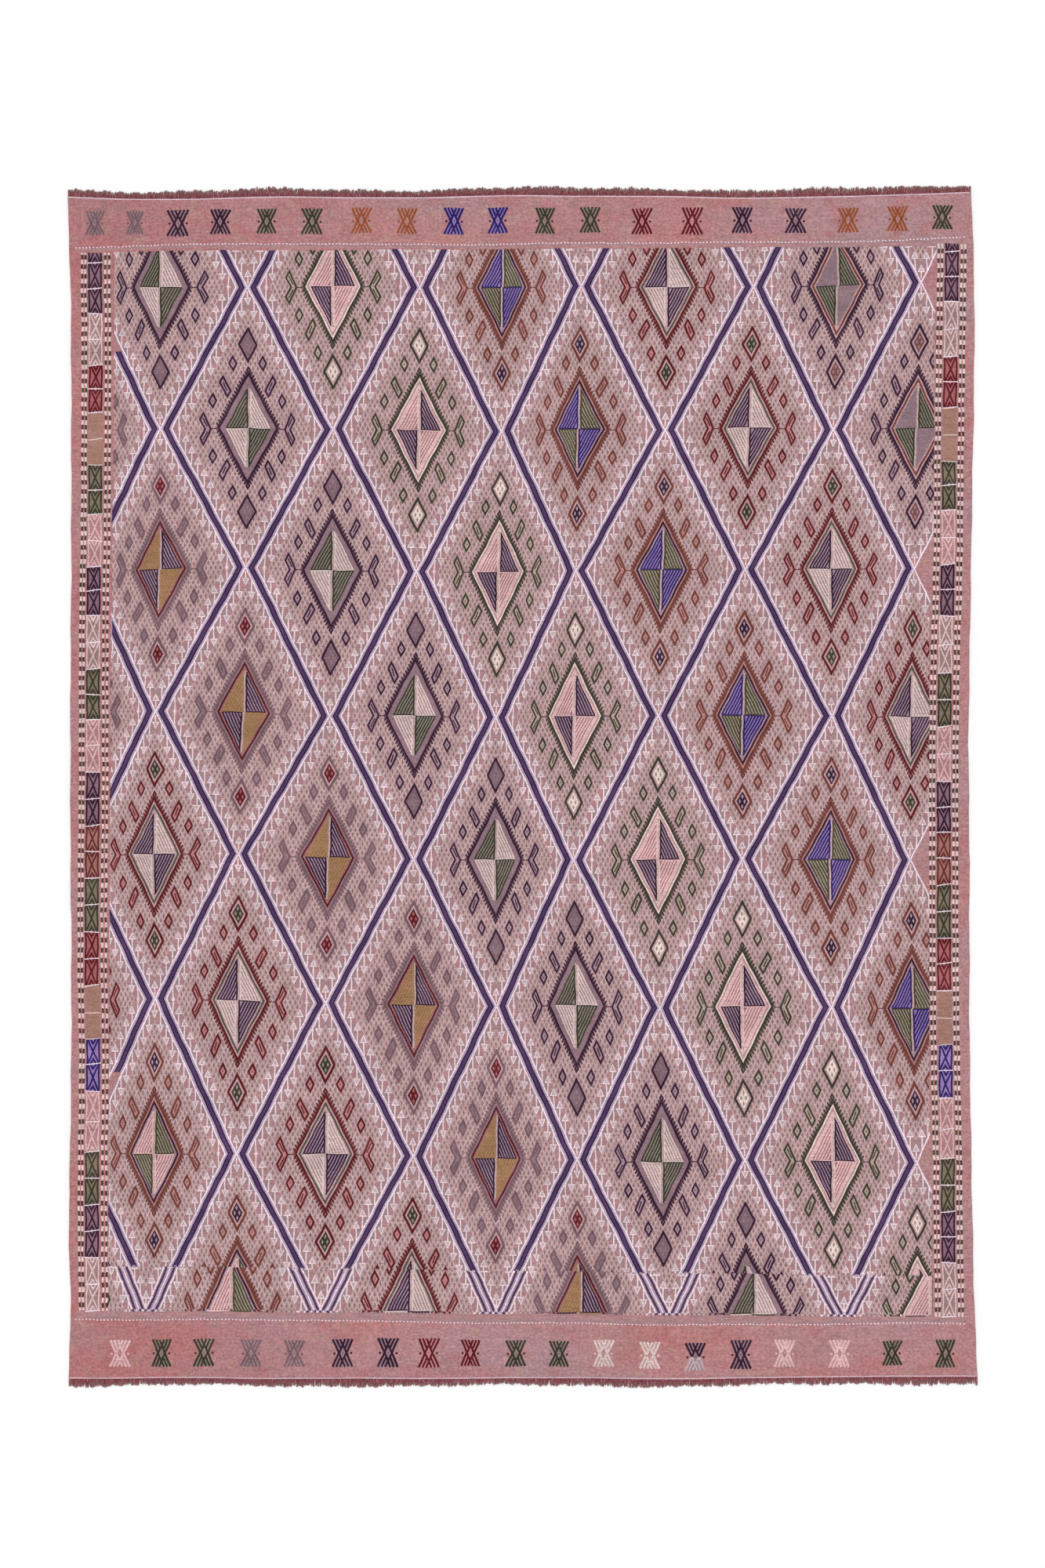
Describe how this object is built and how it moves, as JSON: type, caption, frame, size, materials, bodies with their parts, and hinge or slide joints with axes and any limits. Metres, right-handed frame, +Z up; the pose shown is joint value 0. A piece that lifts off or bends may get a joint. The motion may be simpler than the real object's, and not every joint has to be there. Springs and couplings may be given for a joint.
{
  "type": "kilim rug",
  "caption": "Flat-woven wool rug lying flat, with a brocaded diamond field, checked side borders, plain end panels and short trimmed fringe.",
  "frame": {"origin": "middle of the rug's footprint, on its underside", "axes": "+X across the rug to the right, +Y along the rug to its head end, +Z up off the floor"},
  "size_m": [2.322, 3.0682, 0.0053],
  "materials": {
    "rose_wool": "matt woven wool, rose, with brocade in white and dark dyed yarns",
    "warp_fringe": "matt wine-red wool warp ends",
    "white_yarn": "matt off-white twined wool yarn"
  },
  "bodies": {
    "root": {"kilim_cloth": "rose_wool", "fringe_head": "warp_fringe", "fringe_foot": "warp_fringe", "end_cord_head": "white_yarn", "end_cord_foot": "white_yarn"}
  },
  "joints": []
}
